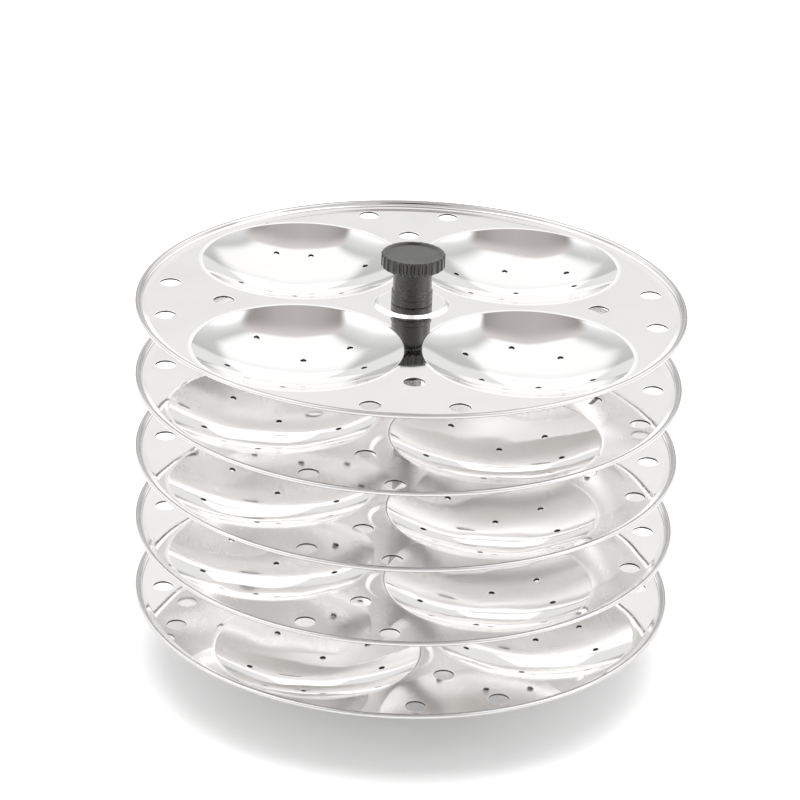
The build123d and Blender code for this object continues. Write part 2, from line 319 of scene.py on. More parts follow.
def bentPath(corners, radii, steps=6):
    # Path of (radius, height, slope) rows along straight runs, with an arc of the given radius at each inner
    # corner: the arc starts r tan(turn / 2) before the corner and its slope goes evenly from run to run.
    corners = np.asarray(corners, float)
    runs = np.diff(corners, axis=0)
    slopes = np.arctan2(runs[:, 1], runs[:, 0])
    rows = [[*corners[0], slopes[0]]]
    for corner, radius, before, after in zip(corners[1:], radii, slopes, slopes[1:]):
        turn = (after - before + math.pi) % fullTurn - math.pi
        side = math.copysign(1.0, turn)
        reach = radius * math.tan(abs(turn) / 2)
        startX, startY = corner[0] - reach * math.cos(before), corner[1] - reach * math.sin(before)
        slope = before + turn * np.linspace(0, 1, steps + 1)
        x = startX + side * radius * (np.sin(slope) - math.sin(before))
        y = startY - side * radius * (np.cos(slope) - math.cos(before))
        rows += np.column_stack([x, y, slope]).tolist()
    rows.append([*corners[-1], rows[-1][2] if len(rows) > 1 else slopes[-1]])
    return np.array(rows)


def makeMesh(name, places, faceGroups, cornerNormals=None, finishes=None):
    # Mesh from arrays: places in millimetres, groups of faces with three or four corners each, and the
    # number of the material that each group wears.
    mesh = bpy.data.meshes.new(name)
    mesh.vertices.add(len(places))
    mesh.vertices.foreach_set("co", (np.asarray(places) * mm).astype(np.float32).ravel())
    corners = np.concatenate([group.ravel() for group in faceGroups])
    sizes = np.concatenate([np.full(len(group), group.shape[1]) for group in faceGroups])
    mesh.loops.add(len(corners))
    mesh.loops.foreach_set("vertex_index", corners.astype(np.int32))
    mesh.polygons.add(len(sizes))
    mesh.polygons.foreach_set("loop_start", (np.cumsum(sizes) - sizes).astype(np.int32))
    if finishes is not None:
        worn = np.concatenate([np.full(len(group), number) for group, number in zip(faceGroups, finishes)])
        mesh.polygons.foreach_set("material_index", worn.astype(np.int32))
    mesh.update(calc_edges=True)
    mesh.validate()
    if cornerNormals is not None:
        mesh.normals_split_custom_set(np.concatenate([n.reshape(-1, 3) for n in cornerNormals]).tolist())
    return mesh


def addPiece(name, mesh, materials, body, node, even=True):
    # Puts a finished mesh in the scene in place of a CAD node. With even shading, large faces keep their
    # own direction next to small roundings.
    piece = newObject(name, mesh)
    for material in materials:
        mesh.materials.append(material)
    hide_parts(node)
    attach(piece, body)
    if even:
        modifier = piece.modifiers.new("evenShading", "WEIGHTED_NORMAL")
        modifier.keep_sharp, modifier.weight = True, 50


def strip(rows, closed=False):
    # Quads between neighbouring rows of vertex numbers, each row closed round the axis.
    rows = np.asarray(rows)
    after = np.roll(rows, -1, axis=1)
    quads = np.stack([rows, after, np.roll(after, -1, axis=0), np.roll(rows, -1, axis=0)], axis=-1)
    return (quads if closed else quads[:-1]).reshape(-1, 4)


def turnedMesh(name, profile, count, shape=None, sharpAngle=40.0):
    # Profile (radius, height) carried round the Z axis: x = r cos a, y = r sin a. It is walked with the
    # material on its left. Ends on the axis become poles, any other profile closes on itself.
    # shape(a, r, z) may change the radius, for flutes, flats and threads.
    profile = np.asarray(profile, float)[:, :2]
    poles = profile[0, 0] < 1e-6 and profile[-1, 0] < 1e-6
    body = profile[1:-1] if poles else profile
    angle = np.arange(count) * fullTurn / count
    radius = np.repeat(body[:, :1], count, axis=1)
    height = np.repeat(body[:, 1:], count, axis=1)
    if shape:
        radius = shape(angle[None, :], radius, height)
    places = np.stack([radius * np.cos(angle), radius * np.sin(angle), height], axis=-1).reshape(-1, 3)
    rows = np.arange(len(body) * count).reshape(len(body), count)
    groups = [strip(rows, closed=not poles)]
    if poles:
        places = np.vstack([places, [0, 0, profile[0, 1]], [0, 0, profile[-1, 1]]])
        first, last = rows[0], rows[-1]
        bottom = np.full(count, len(places) - 2)
        groups.append(np.column_stack([bottom, np.roll(first, -1), first]))
        groups.append(np.column_stack([bottom + 1, last, np.roll(last, -1)]))
    mesh = makeMesh(name, places, groups)
    mesh.set_sharp_from_angle(angle=math.radians(sharpAngle))
    return mesh


def thread(angle, height, pitch):
    # Depth share of a rounded thread, 0 at the crest and 1 at the root: half of 1 + cos(2 pi z / p - a).
    return 0.5 + 0.5 * np.cos(fullTurn * height / pitch - angle)


def fade(value, start, end):
    # Smooth step from 0 at start to 1 at end.
    share = np.clip((value - start) / (end - start), 0, 1)
    return share * share * (3 - 2 * share)


def tapped(piece, angle, height, bottom, top):
    # Radius of a bore with a thread cut outwards, running out at both ends: b + depth * thread(a, z) * cut.
    cut = fade(height, bottom, bottom + piece["runOut"]) * (1 - fade(height, top - piece["runOut"], top))
    return piece["bore"] + piece["threadDepth"] * thread(angle, height, piece["pitch"]) * cut


def sheetMesh(name, gauge, rings, holes, shape, edge, edgeCount, shaded=0, marked=None, rimShadeFrom=None):
    # Pressed sheet. Its middle is a plan of rings and holes, triangulated flat and lifted to shape(points),
    # which gives height and normal of the upper face. The lower face is that face moved back along its
    # normal by the gauge, and drawn down to a burr round each punched hole. The edge rows (radius, height,
    # slope) go on round the axis and back underneath.
    # Faces wear finish 0 above and on the edge, 1 below and on the last shaded rows, 2 in the holes, and 3
    # on the part of the edge beyond the given rim radius. On the plates the holes' walls, the rim beyond that
    # radius and the underside's dark tone are painted shade.
    holeCentres = np.array([hole["centre"] for hole in holes])
    holeReach = np.array([hole["clear"] for hole in holes])
    ringGap = 0.15  # nearest that a ring comes to the edge
    points, links, owner = [], [], []
    total = 0

    def addRing(spots, hole=-1):
        # Numbers a ring's points; the hole is a number, -1 for a ring that holes cut, -2 for one they leave.
        nonlocal total
        keep = np.ones(len(spots), bool)
        if hole == -1:
            gaps = np.hypot(*(spots[:, None, :] - holeCentres[None]).transpose(2, 0, 1))
            keep = np.all(gaps > holeReach, axis=1) & (np.hypot(*spots.T) < edge[0, 0] - ringGap)
        number = np.full(len(spots), -1)
        number[keep] = total + np.arange(keep.sum())
        pairs = np.column_stack([number, np.roll(number, -1)])
        links.append(pairs[(pairs >= 0).all(axis=1)])
        points.append(spots[keep])
        owner.append(np.full(keep.sum(), hole))
        total += keep.sum()
        return number

    outer = addRing(ring((0, 0), edge[0, 0], edgeCount), hole=-2)
    for centre, radius, count in rings:
        addRing(ring(centre, radius, count, turn=0.37 * radius))
    holeRings = []
    for k, hole in enumerate(holes):
        holeRings.append(addRing(ring(hole["centre"], hole["radius"], hole["count"]), hole=k))
        for extra in hole["rings"]:
            addRing(ring(hole["centre"], hole["radius"] + extra, hole["count"]), hole=-2)
    points, links, owner = np.vstack(points), np.vstack(links), np.concatenate(owner)

    laid = delaunay_2d_cdt(points.tolist(), links.tolist(), [], 0, 1e-6)
    assert len(laid[0]) == len(points), "the plan has crossing rings"
    faces = np.array(laid[2])
    one, two, three = (points[faces[:, k]] for k in range(3))
    area = np.cross(two - one, three - one)
    faces = np.where(area[:, None] > 0, faces, faces[:, ::-1])
    marks = owner[faces]
    inHole = (marks[:, 0] >= 0) & (marks[:, 0] == marks[:, 1]) & (marks[:, 1] == marks[:, 2])
    faces = faces[~inHole & (np.abs(area) > 1e-9)]

    height, normal = shape(points)
    upper = np.column_stack([points, height])
    lower = upper - gauge * normal
    shading = normal.copy()
    count = len(points)
    walls, wallNormals = [], []
    for on, hole in zip(holeRings, holes):
        after = np.roll(on, -1)
        inward = np.column_stack([(np.array(hole["centre"]) - points[on]) / hole["radius"], np.zeros(len(on))])
        upper[on, 2] -= hole["roll"]
        lower[on] -= hole["burr"] * normal[on]
        tilted = normal[on] + inward
        shading[on] = tilted / np.linalg.norm(tilted, axis=1)[:, None]
        walls.append(np.column_stack([on, after, count + after, count + on]))
        wallNormals.append(np.stack([shading[on], shading[after], np.roll(inward, -1, axis=0), inward], axis=1))

    # Rows of the edge: outwards on the upper face, round the end, and back on the lower face
    angle = np.arange(edgeCount) * fullTurn / edgeCount
    across = np.column_stack([-np.sin(edge[:, 2]), np.cos(edge[:, 2])])
    back = edge[::-1, :2] - gauge * across[::-1]
    path = np.vstack([edge[1:, :2], back[:-1]])
    rowPlaces = np.stack([
        path[:, :1] * np.cos(angle), path[:, :1] * np.sin(angle), np.repeat(path[:, 1:], edgeCount, axis=1)
    ], axis=-1)
    rows = 2 * count + np.arange(len(path) * edgeCount).reshape(len(path), edgeCount)
    allRows = np.vstack([outer[None], rows, count + outer[None]])
    last = len(edge) - 1  # the row where the upper face ends
    starts = np.vstack([across, -across[::-1]])[:-1]
    ends = np.vstack([across, -across[::-1]])[1:]
    tip = np.array([math.cos(edge[-1, 2]), math.sin(edge[-1, 2])])
    starts[last], ends[last] = tip, tip

    places = np.vstack([upper, lower, rowPlaces.reshape(-1, 3)])
    groups = [faces, count + faces[:, ::-1], *walls]
    normals = [shading[faces], -normal[faces[:, ::-1]], *wallNormals]
    finishes = [0, 1] + [2] * len(walls)
    turned = np.stack([np.cos(angle), np.sin(angle)], axis=1)
    turnedAfter = np.roll(turned, -1, axis=0)

    def spun(way, direction):
        # Normal (outward, up) of a row carried round the axis.
        return np.column_stack([way[0] * direction, np.full(len(direction), way[1])])

    allRadii = np.concatenate([edge[:1, 0], path[:, 0]])
    for i in range(len(allRows) - 1):
        here, there = allRows[i], allRows[i + 1]
        groups.append(np.column_stack([here, there, np.roll(there, -1), np.roll(here, -1)]))
        ways = ((starts, turned), (ends, turned), (ends, turnedAfter), (starts, turnedAfter))
        normals.append(np.stack([spun(way[i], direction) for way, direction in ways], axis=1))
        outside = rimShadeFrom is not None and allRadii[i] > rimShadeFrom
        finishes.append(1 if i > last + len(edge) - shaded else 3 if outside else 0)
    mesh = makeMesh(name, places, groups, normals, finishes)
    if marked is not None:
        # share of painted light per point: painted highlight above, painted shade below towards the rim
        paintedLight = mesh.attributes.new("paintedLight", "FLOAT", "POINT")
        share = np.concatenate([marked(points), marked(points, below=True), np.zeros(len(path) * edgeCount)])
        paintedLight.data.foreach_set("value", share.astype(np.float32))
    return mesh


# Plates

plate = {
    "flats": (142.6, 113.7, 84.8, 55.9, 27.0),  # height of each plate's flat, the top plate first
    "turns": (1.5, -12.0, -12.0, -12.0, 14.0),  # degrees about the rod
    "gauge": 0.6,
    "rodHole": 3.4,
    "bossHeight": 1.2, "bossTop": 12.2, "bossFoot": 13.7, "bossBend": 0.6,
    "slopeLead": 0.45, "slopeStart": 95.6, "slopeAngle": 12.0, "slopeBend": 4.0,
    "rimCorner": 97.926, "rimBend": 1.2, "rimLean": 15.0, "rimHeight": 2.3,
    "bead": 0.9, "beadCurl": 250.0, "shadedRows": 8,  # the curl's last rows are painted in shade
    "cupRing": 57.205, "cupMouth": 37.8, "cupDepth": 8.5, "cupLip": 2.0,
    # holes: points round each, margin free of other rings, distances of their own rings
    "rodHoleLay": (72, 0.1), "drainLay": (28, 0.95, (0.14, 0.5)), "steamLay": (56, 0.9, (0.15, 0.45)),
    "drain": 1.1, "drainRing": 24.0, "drainRoll": 0.08,
    "steamHole": 3.75, "innerSteamRing": 68.035, "outerSteamRing": 89.435, "outerSteamSpread": 9.8,
    "steamRoll": 0.12, "drainBurr": 0.55, "steamBurr": 0.1,
    # underside: bright up to the first radius, painted shade from the second
    "underLitTo": 72.0, "underShadeFrom": 84.0,
    "cupFade": (0.4, 1.0), "holeFade": (0.15, 0.45), "bossFade": (0.25, 0.5),  # where the painted highlight ends, outside
    # points and distances of the rings in the plan of the middle and of the edge
    "bossRings": (6.0, 9.0), "bossCount": 96, "dishStep": 1.7, "lipCount": 180, "lipRings": (0.4, 1.0),
    "edgeCount": 288, "curlCount": 27,
}
drainsLeft = ((1.00, 130), (0.93, 36), (0.29, 75), (1.06, 198), (1.00, 349), (0.98, 260))
drainsRight = ((0.79, 106), (0.98, 158), (0.71, 45), (0.80, 213), (0.56, 286), (1.04, 335))
drainsBackLeft = ((0.92, 118), (0.82, 82), (1.04, 19), (1.06, 211), (0.91, 266), (1.03, 309))
drainsBackRight = ((0.96, 173), (0.54, 110), (0.87, 26), (0.90, 349), (0.31, 266), (0.98, 222))
topCups = (drainsBackRight, drainsBackLeft, drainsLeft, drainsRight)
lowerCups = (drainsBackRight, drainsBackLeft, drainsLeft, drainsLeft)


def polar(radius, degrees):
    # Point at a radius and a direction.
    return radius * math.cos(math.radians(degrees)), radius * math.sin(math.radians(degrees))


def punched(centre, radius, count, margin, rings=(), roll=0.0, burr=0.0):
    # Hole for sheetMesh, of so many points: it keeps a margin free of other rings, has rings of its own at
    # some distances from it, and its edge is drawn down by roll above and by burr below.
    return {
        "centre": centre, "radius": radius, "count": count, "clear": radius + margin, "rings": rings,
        "roll": roll, "burr": burr,
    }


def plateMesh(name, flat, turn, cups):
    # One plate: boss, flat, four dished cups with drain holes, steam holes, shallow slope, leaning rim
    # and rolled bead.
    mouth, lipBend, gauge = plate["cupMouth"], plate["cupLip"], plate["gauge"]
    bead, rimCorner = plate["bead"], plate["rimCorner"]
    sphere = (mouth**2 / plate["cupDepth"] + plate["cupDepth"]) / 2 - lipBend
    sphereCentre = sphere - plate["cupDepth"]
    dishAngle = math.atan2(mouth, sphereCentre + lipBend)
    lipReach = mouth - lipBend * math.sin(dishAngle)
    boss = bentPath(
        [(plate["rodHole"], plate["bossHeight"]), (plate["bossTop"], plate["bossHeight"]),
         (plate["bossFoot"], 0), (plate["bossFoot"] + 3, 0)],
        [plate["bossBend"] + gauge, plate["bossBend"]],
    )
    lean = math.radians(plate["rimLean"])
    wallTop = plate["rimHeight"] - bead + bead * math.sin(lean)
    slopeTop = (rimCorner - plate["slopeStart"]) * math.tan(math.radians(plate["slopeAngle"]))
    wallEnd = (rimCorner + (wallTop - slopeTop) * math.tan(lean), wallTop)
    rim = bentPath(
        [(plate["slopeStart"] - plate["slopeLead"], 0), (plate["slopeStart"], 0),
         (rimCorner, slopeTop), wallEnd],
        [plate["slopeBend"], plate["rimBend"]],
    )
    begin = 180 - plate["rimLean"]
    curl = np.radians(np.linspace(begin, begin - plate["beadCurl"], plate["curlCount"]))[1:]
    beadX = wallEnd[0] + bead * (math.cos(lean) + np.cos(curl))
    beadZ = plate["rimHeight"] - bead * (1 - np.sin(curl))
    edge = np.vstack([rim, np.column_stack([beadX, beadZ, curl - math.pi / 2])])

    cupCentres = [polar(plate["cupRing"], turn + 45 + 90 * k) for k in range(4)]
    holes = [punched((0.0, 0.0), plate["rodHole"], *plate["rodHoleLay"])]
    for centre, drains in zip(cupCentres, cups):
        for share, direction in drains:
            dx, dy = polar(share * plate["drainRing"], direction)
            spot = (centre[0] + dx, centre[1] + dy)
            holes.append(punched(
                spot, plate["drain"], *plate["drainLay"], plate["drainRoll"], plate["drainBurr"]
            ))
    for k in range(4):
        gap = turn + 90 * k
        for radius, direction in (
            (plate["innerSteamRing"], gap),
            (plate["outerSteamRing"], gap - plate["outerSteamSpread"]),
            (plate["outerSteamRing"], gap + plate["outerSteamSpread"]),
        ):
            spot = polar(radius, direction)
            holes.append(punched(
                spot, plate["steamHole"], *plate["steamLay"], plate["steamRoll"], plate["steamBurr"]
            ))

    bossRadii = (*plate["bossRings"], plate["bossTop"] - 0.5, *boss[1:-1, 0], plate["bossFoot"] + 0.5)
    rings = [((0.0, 0.0), r, plate["bossCount"]) for r in bossRadii]
    lipAngles = np.linspace(0, dishAngle, 7)
    dishRadii = np.linspace(lipReach, plate["dishStep"], round(lipReach / plate["dishStep"]))[1:]
    lipRadii = [mouth + gap for gap in plate["lipRings"]]
    lipRadii += [mouth - lipBend * math.sin(a) for a in lipAngles]
    for centre in cupCentres:
        rings += [(centre, r, plate["lipCount"]) for r in lipRadii]
        rings += [(centre, r, max(8, round(fullTurn * r / plate["dishStep"]))) for r in dishRadii]

    def shape(points):
        # Height: the boss's path over the radius; in a cup the sphere c - sqrt(R^2 - d^2), joined to the
        # flat by the lip -l + sqrt(l^2 - (m - d)^2), with d the distance from the cup's middle.
        radius = np.hypot(*points.T)
        height = np.interp(radius, boss[:, 0], boss[:, 1])
        slope = np.interp(radius, boss[:, 0], boss[:, 2])
        slope[radius > boss[-1, 0]] = 0
        outwards = points / np.maximum(radius, 1e-9)[:, None]
        for centre in cupCentres:
            offset = points - centre
            d = np.hypot(*offset.T)
            dish = d <= lipReach
            lip = (d > lipReach) & (d < mouth - 1e-9)
            height[dish] = sphereCentre - np.sqrt(sphere**2 - d[dish] ** 2)
            slope[dish] = np.arcsin(d[dish] / sphere)
            depth = mouth - d[lip]
            height[lip] = np.sqrt(lipBend**2 - depth**2) - lipBend
            slope[lip] = np.arcsin(depth / lipBend)
            inCup = dish | lip
            outwards[inCup] = offset[inCup] / np.maximum(d[inCup], 1e-9)[:, None]
        normal = np.column_stack([-np.sin(slope)[:, None] * outwards, np.cos(slope)])
        return flat + height, normal

    def paintedLightShare(points, below=False):
        # Share of painted light: 1, a painted highlight, in the cups, on their lips, at both bends of the boss
        # and round the steam holes, fading outside. Below, 1 in the middle of the plate only, fading to 0
        # outside, where the underside is painted in shade.
        if below:
            return 1 - fade(np.hypot(*points.T), plate["underLitTo"], plate["underShadeFrom"])
        radius = np.hypot(*points.T)
        spots = [(centre, mouth, "cupFade") for centre in cupCentres]
        spots += [(hole["centre"], hole["radius"], "holeFade") for hole in holes[1:]]
        gaps = [(np.hypot(*(points - centre).T) - reach, name) for centre, reach, name in spots]
        gaps += [(np.abs(radius - plate[bend]), "bossFade") for bend in ("bossTop", "bossFoot")]
        return np.max([1 - fade(gap, *plate[name]) for gap, name in gaps], axis=0)

    edge[:, 1] += flat
    return sheetMesh(
        name, gauge, rings, holes, shape, edge, plate["edgeCount"],
        shaded=plate["shadedRows"], marked=paintedLightShare, rimShadeFrom=rimCorner,
    )


for k, (flat, turn) in enumerate(zip(plate["flats"], plate["turns"]), start=1):
    mesh = plateMesh(f"pressedPlate{k}", flat, turn, topCups if k == 1 else lowerCups)
    # the hole walls, the rim and the underside's dark tone are painted shade
    worn = [mirror, underside, holeWallShade, rimShade]
    addPiece(f"pressedPlate{k}", mesh, worn, f"plate_{k}", f"plate_{k}", even=False)
print("plates made")


# Spacers

spacer = {
    "outside": 4.6, "bore": 3.4, "chamfer": 0.3, "edge": 0.12, "count": 96,
    "bottoms": (114.9, 86.0, 57.1, 28.2, 10.0),  # the top spacer first
    "tops": (143.2, 114.3, 85.4, 56.5, 27.6),
}


def spacerMesh(name, bottom, top):
    # Tube: its wall's outline with chamfered outer corners and a small rounding at every edge.
    outside, bore, chamfer, middle = spacer["outside"], spacer["bore"], spacer["chamfer"], (bottom + top) / 2
    path = bentPath(
        [(outside, middle), (outside, top - chamfer), (outside - chamfer, top), (bore, top),
         (bore, bottom), (outside - chamfer, bottom), (outside, bottom + chamfer), (outside, middle)],
        [spacer["edge"]] * 6, steps=3,
    )
    return turnedMesh(name, path[:-1], spacer["count"])


for k, (bottom, top) in enumerate(zip(spacer["bottoms"], spacer["tops"]), start=1):
    mesh = spacerMesh(f"tubeSpacer{k}", bottom, top)
    addPiece(f"tubeSpacer{k}", mesh, [tubing], f"spacer_{k}", f"spacer_{k}")
print("spacers made")


# Centre rod

rod = {
    "radius": 3.0, "bottom": 2.2, "top": 153.8, "endChamfer": 0.6,
    "collar": 6.0, "collarBottom": 8.0, "collarTop": 10.0, "collarEdge": 0.25,
    "pitch": 1.0, "threadDepth": 0.55, "threadTop": 139.0, "threadFoot": 7.6,
    "topRunOut": 1.5, "footRunOut": 0.8, "perPitch": 8, "count": 48,
}


def rodMesh():
    # Shank with a collar; both ends carry a thread cut into the shank: r - depth * thread(a, z).
    radius, bottom, top, chamfer = rod["radius"], rod["bottom"], rod["top"], rod["endChamfer"]
    footRows = np.arange(bottom + chamfer, rod["threadFoot"], rod["pitch"] / rod["perPitch"])
    topRows = np.arange(rod["threadTop"], top - chamfer, rod["pitch"] / rod["perPitch"])
    collar = bentPath(
        [(radius, rod["threadFoot"] + 0.1), (radius, rod["collarBottom"]), (rod["collar"], rod["collarBottom"]),
         (rod["collar"], rod["collarTop"]), (radius, rod["collarTop"]), (radius, rod["collarTop"] + 1)],
        [0.05, rod["collarEdge"], rod["collarEdge"], 0.05], steps=4,
    )[:, :2]
    profile = np.vstack([
        (0, bottom), (radius - chamfer, bottom), np.column_stack([np.full(len(footRows), radius), footRows]),
        collar, np.column_stack([np.full(len(topRows), radius), topRows]),
        (radius, top - chamfer), (radius - chamfer, top), (0, top),
    ])

    def shape(angle, r, z):
        low = 1 - fade(z, rod["threadFoot"] - rod["footRunOut"], rod["threadFoot"])
        cut = np.maximum(low, fade(z, rod["threadTop"], rod["threadTop"] + rod["topRunOut"]))
        threaded = rod["radius"] - rod["threadDepth"] * thread(angle, z, rod["pitch"]) * cut
        onShank = np.abs(r - rod["radius"]) < 0.01
        return np.where(onShank, threaded, r)

    return turnedMesh("threadedRod", profile, rod["count"], shape)


addPiece("threadedRod", rodMesh(), [drawn], "base", "centre_rod")


# Foot with its washer and nut

foot = {
    "gauge": 0.8, "height": 8.0, "rodHole": 3.0, "top": 31.0, "wallFoot": 33.0, "outside": 35.0, "bend": 1.2,
    "hole": 2.2, "holeRing": 26.0, "holeCount": 6, "holeTurn": -51.0, "holeRoll": 0.12, "holeBurr": 0.2,
    "count": 180, "rodHoleLay": (48, 0.1), "holeLay": (40, 0.4, (0.18,)),
    "rings": (6.0, 12.0, 18.0, 22.0), "ringCount": 72, "topLead": 1.6,
}


def footMesh():
    # Spun dish turned over: flat top with a ring of holes, steep wall, and a narrow flange on the floor.
    edge = bentPath(
        [(foot["top"] - foot["topLead"], foot["height"]), (foot["top"], foot["height"]),
         (foot["wallFoot"], foot["gauge"]), (foot["outside"], foot["gauge"])],
        [foot["bend"] + foot["gauge"], foot["bend"]],
    )
    holes = [punched((0.0, 0.0), foot["rodHole"], *foot["rodHoleLay"])]
    for k in range(foot["holeCount"]):
        spot = polar(foot["holeRing"], foot["holeTurn"] + 360 * k / foot["holeCount"])
        holes.append(punched(spot, foot["hole"], *foot["holeLay"], foot["holeRoll"], foot["holeBurr"]))
    rings = [((0.0, 0.0), r, foot["ringCount"]) for r in foot["rings"]]

    def shape(points):
        # Flat, facing up.
        up = np.column_stack([np.zeros((len(points), 2)), np.ones(len(points))])
        return np.full(len(points), foot["height"]), up

    return sheetMesh("spunFoot", foot["gauge"], rings, holes, shape, edge, foot["count"])


# the hole walls' near-black tone is painted shade
addPiece("spunFoot", footMesh(), [satin, satin, holeWallShade], "base", "foot_dish", even=False)

washer = {"outside": 6.0, "bore": 3.4, "bottom": 6.2, "middle": 6.7, "top": 7.2, "edge": 0.22, "count": 72}
outside, bore, middle = washer["outside"], washer["bore"], washer["middle"]
washerPath = bentPath(
    [(outside, middle), (outside, washer["top"]), (bore, washer["top"]),
     (bore, washer["bottom"]), (outside, washer["bottom"]), (outside, middle)],
    [washer["edge"]] * 4, steps=4,
)
washerMesh = turnedMesh("plainWasher", washerPath[:-1], washer["count"])
addPiece("plainWasher", washerMesh, [drawn], "base", "foot_washer")

nut = {
    "flats": 10.0, "bottom": 3.0, "top": 6.2, "chamfer": 0.5, "bore": 3.0,
    "pitch": 1.0, "threadDepth": 0.4, "runOut": 0.4, "count": 144, "runCounts": (3, 8, 2, 8, 3, 30),
}


def nutMesh():
    # Hexagon: r = (flats / 2) / cos(angle from the nearest flat's middle), held under a cone at both ends,
    # with a thread cut outwards from the bore.
    bottom, top, chamfer, bore = nut["bottom"], nut["top"], nut["chamfer"], nut["bore"]
    corner = nut["flats"] / 2 / math.cos(math.pi / 6)
    corners = [
        (bore, bottom), (corner - chamfer, bottom), (corner, bottom + chamfer), (corner, top - chamfer),
        (corner - chamfer, top), (bore, top), (bore, bottom),
    ]
    runs = zip(corners, corners[1:], nut["runCounts"])
    profile = np.vstack([np.linspace(start, end, count, endpoint=False) for start, end, count in runs])

    def shape(angle, r, z):
        away = (angle + math.pi / 6) % (math.pi / 3) - math.pi / 6
        hexagon = nut["flats"] / 2 / np.cos(away)
        inBore = np.abs(r - bore) < 0.01
        return np.where(inBore, tapped(nut, angle, z, bottom, top), np.minimum(r, hexagon))

    return turnedMesh("hexNut", profile, nut["count"], shape, sharpAngle=28.0)


addPiece("hexNut", nutMesh(), [drawn], "base", "foot_nut")
print("rod and foot made")


# Knob

knob = {
    "seat": 143.8, "socket": 4.55, "socketTop": 154.8, "neck": 7.05, "neckFillet": 0.5, "neckHeight": 14.0,
    "ringHeight": 2.55, "ringRelief": 0.4, "ringGroove": 0.35,
    "head": 11.6, "headHeight": 5.0, "headEdge": 0.5, "recess": 9.9, "recessDepth": 0.5,
    "flutes": 26, "fluteRadius": 0.9, "fluteDepth": 0.7, "perFlute": 16, "soften": 0.02,
    # roundings of the outline's corners: socket, each ring, then from the neck's foot to the sunk top
    "socketBends": (0.1, 0.1), "ringBends": (0.08, 0.2, 0.2), "neckBends": (0.1, 0.3),
    "headBends": (0.3, 0.3, 0.3, 0.3, 0.2, 0.25), "longestRun": 0.8,
}


def knobMesh():
    # Outline of the moulding: socket, grooved rings, neck, head and sunk top. The head's radius is the
    # smaller of the outline and the flutes, each a circle of radius f about a point at distance c:
    # r = c cos a - sqrt(f^2 - c^2 sin^2 a). The two are joined softly: half of a + b - sqrt((a - b)^2 + s^2).
    seat, neck, head, ringRadius = knob["seat"], knob["neck"], knob["head"], knob["neck"] + knob["ringRelief"]
    groove, edge, ringTop = knob["ringGroove"], knob["headEdge"], 2 * knob["ringHeight"]
    headBase, top = seat + knob["neckHeight"], seat + knob["neckHeight"] + knob["headHeight"]
    corners = [(0, knob["socketTop"]), (knob["socket"], knob["socketTop"]), (knob["socket"], seat)]
    bendList = [*knob["socketBends"]]
    for k in range(2):
        base, rise = seat + k * knob["ringHeight"], knob["ringHeight"] - groove
        corners += [(ringRadius - groove, base), (ringRadius, base + groove), (ringRadius, base + rise)]
        bendList += knob["ringBends"]
    corners += [
        (ringRadius - groove, seat + ringTop), (neck, seat + ringTop + groove), (neck, headBase),
        (head - edge, headBase), (head, headBase + edge), (head, top - edge), (head - edge, top),
        (knob["recess"], top),
        (knob["recess"] - knob["recessDepth"], top - knob["recessDepth"]), (0, top - knob["recessDepth"]),
    ]
    bendList += [*knob["neckBends"], knob["neckFillet"], *knob["headBends"]]
    profile = bentPath(corners, bendList, steps=5)[:, :2]
    finer = [profile[:1]]
    for start, end in zip(profile, profile[1:]):
        pieces = max(1, int(np.hypot(*(end - start)) / knob["longestRun"]))
        finer.append(np.linspace(start, end, pieces + 1)[1:])
    profile = np.vstack(finer)

    def shape(angle, r, z):
        centre = head + knob["fluteRadius"] - knob["fluteDepth"]
        step = fullTurn / knob["flutes"]
        away = (angle + step / 2) % step - step / 2
        inside = knob["fluteRadius"] ** 2 - (centre * np.sin(away)) ** 2
        flute = np.where(inside > 0, centre * np.cos(away) - np.sqrt(np.maximum(inside, 0)), head + 1)
        joined = (r + flute - np.sqrt((r - flute) ** 2 + knob["soften"] ** 2)) / 2
        onHead = (z > headBase - 0.01) & (r > knob["recess"])
        return np.where(onHead, np.minimum(joined, r), r)

    return turnedMesh("screwKnob", profile, knob["flutes"] * knob["perFlute"], shape, sharpAngle=50.0)


addPiece("screwKnob", knobMesh(), [phenolic], "knob", "knob")

bush = {
    "seat": 143.8, "top": 154.8, "bore": 3.05, "outside": 4.5, "grooveDepth": 0.4, "grooveWidth": 1.2,
    "edge": 0.2, "knurls": 32, "knurlDepth": 0.12, "pitch": 1.0, "threadDepth": 0.45, "runOut": 0.6,
    "perPitch": 8, "count": 192,
}


def bushMesh():
    # Brass tube with two keying grooves and a straight knurl between them, r - depth * (1 + cos(n a)) / 2,
    # and a thread cut outwards from the bore.
    seat, top, bore, outside, edge = bush["seat"], bush["top"], bush["bore"], bush["outside"], bush["edge"]
    corners = [(outside, seat + edge)]
    for share in (1 / 3, 2 / 3):
        low = seat + share * (top - seat) - bush["grooveWidth"] / 2
        high = low + bush["grooveWidth"]
        floor = outside - bush["grooveDepth"]
        corners += [(outside, low), (floor, low), (floor, high), (outside, high)]
    corners += [(outside, top - edge), (outside - edge, top), (bore, top)]
    boreRows = np.arange(top, seat, -bush["pitch"] / bush["perPitch"])
    bored = np.column_stack([np.full(len(boreRows), bore), boreRows])[1:]
    profile = np.vstack([corners, bored, (bore, seat), (outside - edge, seat)])

    def shape(angle, r, z):
        inBore = np.abs(r - bore) < 0.01
        knurled = r - bush["knurlDepth"] * (1 + np.cos(bush["knurls"] * angle)) / 2
        outer = np.where(r > outside - 0.01, knurled, r)
        return np.where(inBore, tapped(bush, angle, z, seat, top), outer)

    return turnedMesh("threadedBush", profile, bush["count"], shape, sharpAngle=35.0)


addPiece("threadedBush", bushMesh(), [brass], "knob_bush", "knob_bush")
print("knob made")


# Floor, light and camera

